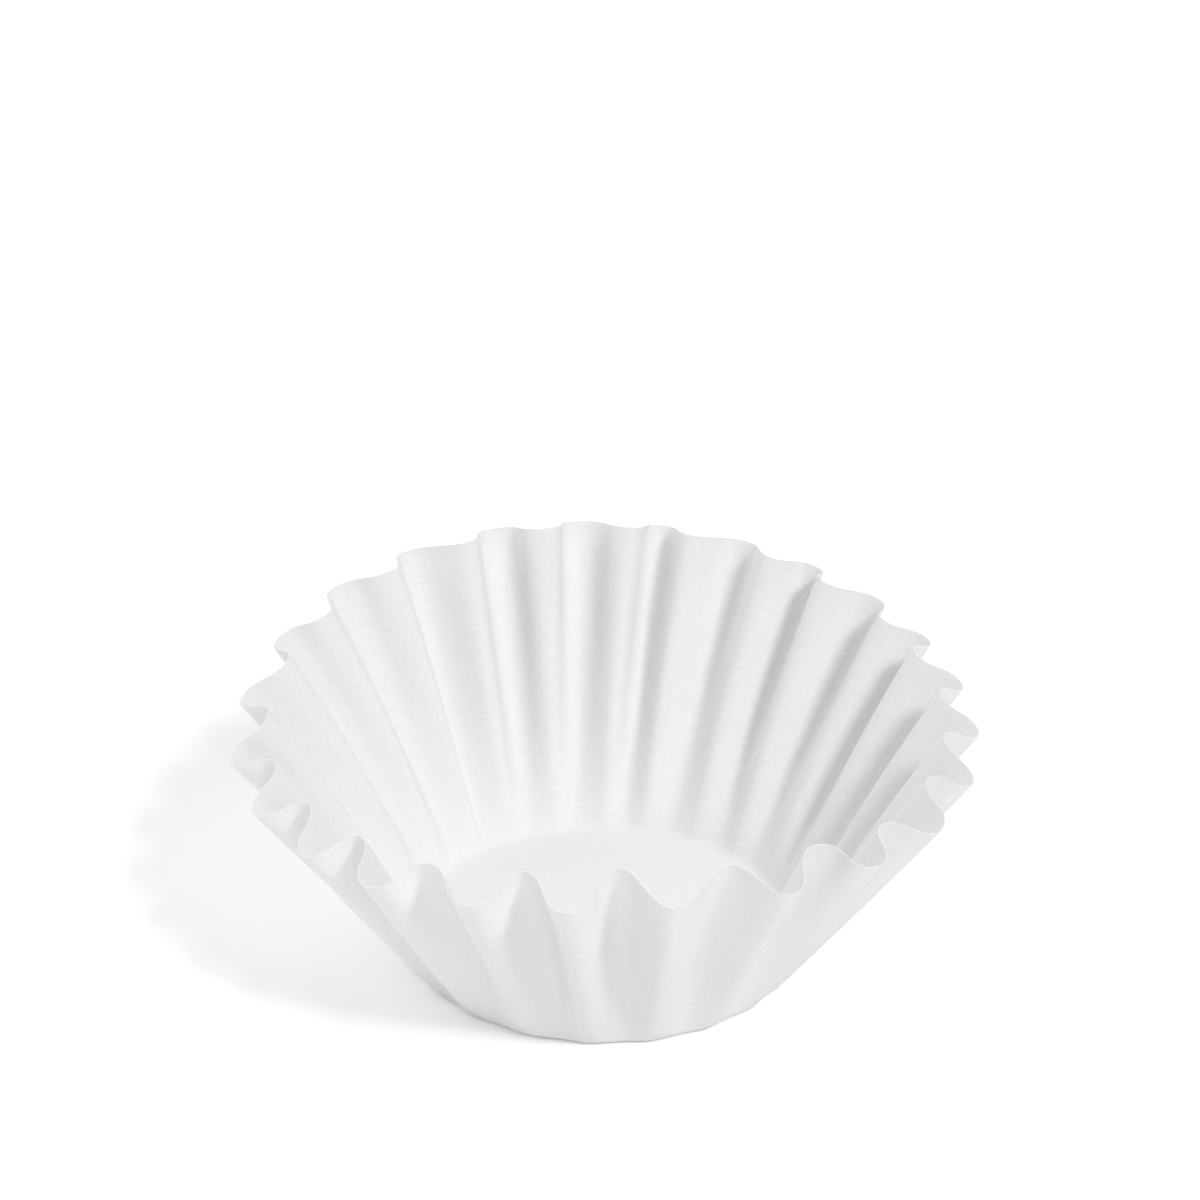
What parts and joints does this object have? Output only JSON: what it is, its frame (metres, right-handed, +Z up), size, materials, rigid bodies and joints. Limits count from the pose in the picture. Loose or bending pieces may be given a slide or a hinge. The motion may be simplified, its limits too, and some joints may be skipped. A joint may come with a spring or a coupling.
{
  "type": "paper coffee filter",
  "caption": "Round flat-bottomed basket filter of thin white paper, standing open with a flared wall gathered in soft flutes.",
  "frame": {"origin": "on the table under the middle of the flat bottom", "axes": "+Z up out of the open mouth, -Y towards the side that the picture shows nearest"},
  "size_m": [0.1564, 0.1541, 0.0629],
  "materials": {
    "filter_paper": "matte, finely creped"
  },
  "bodies": {
    "root": {"paper_filter": "filter_paper"}
  },
  "joints": []
}
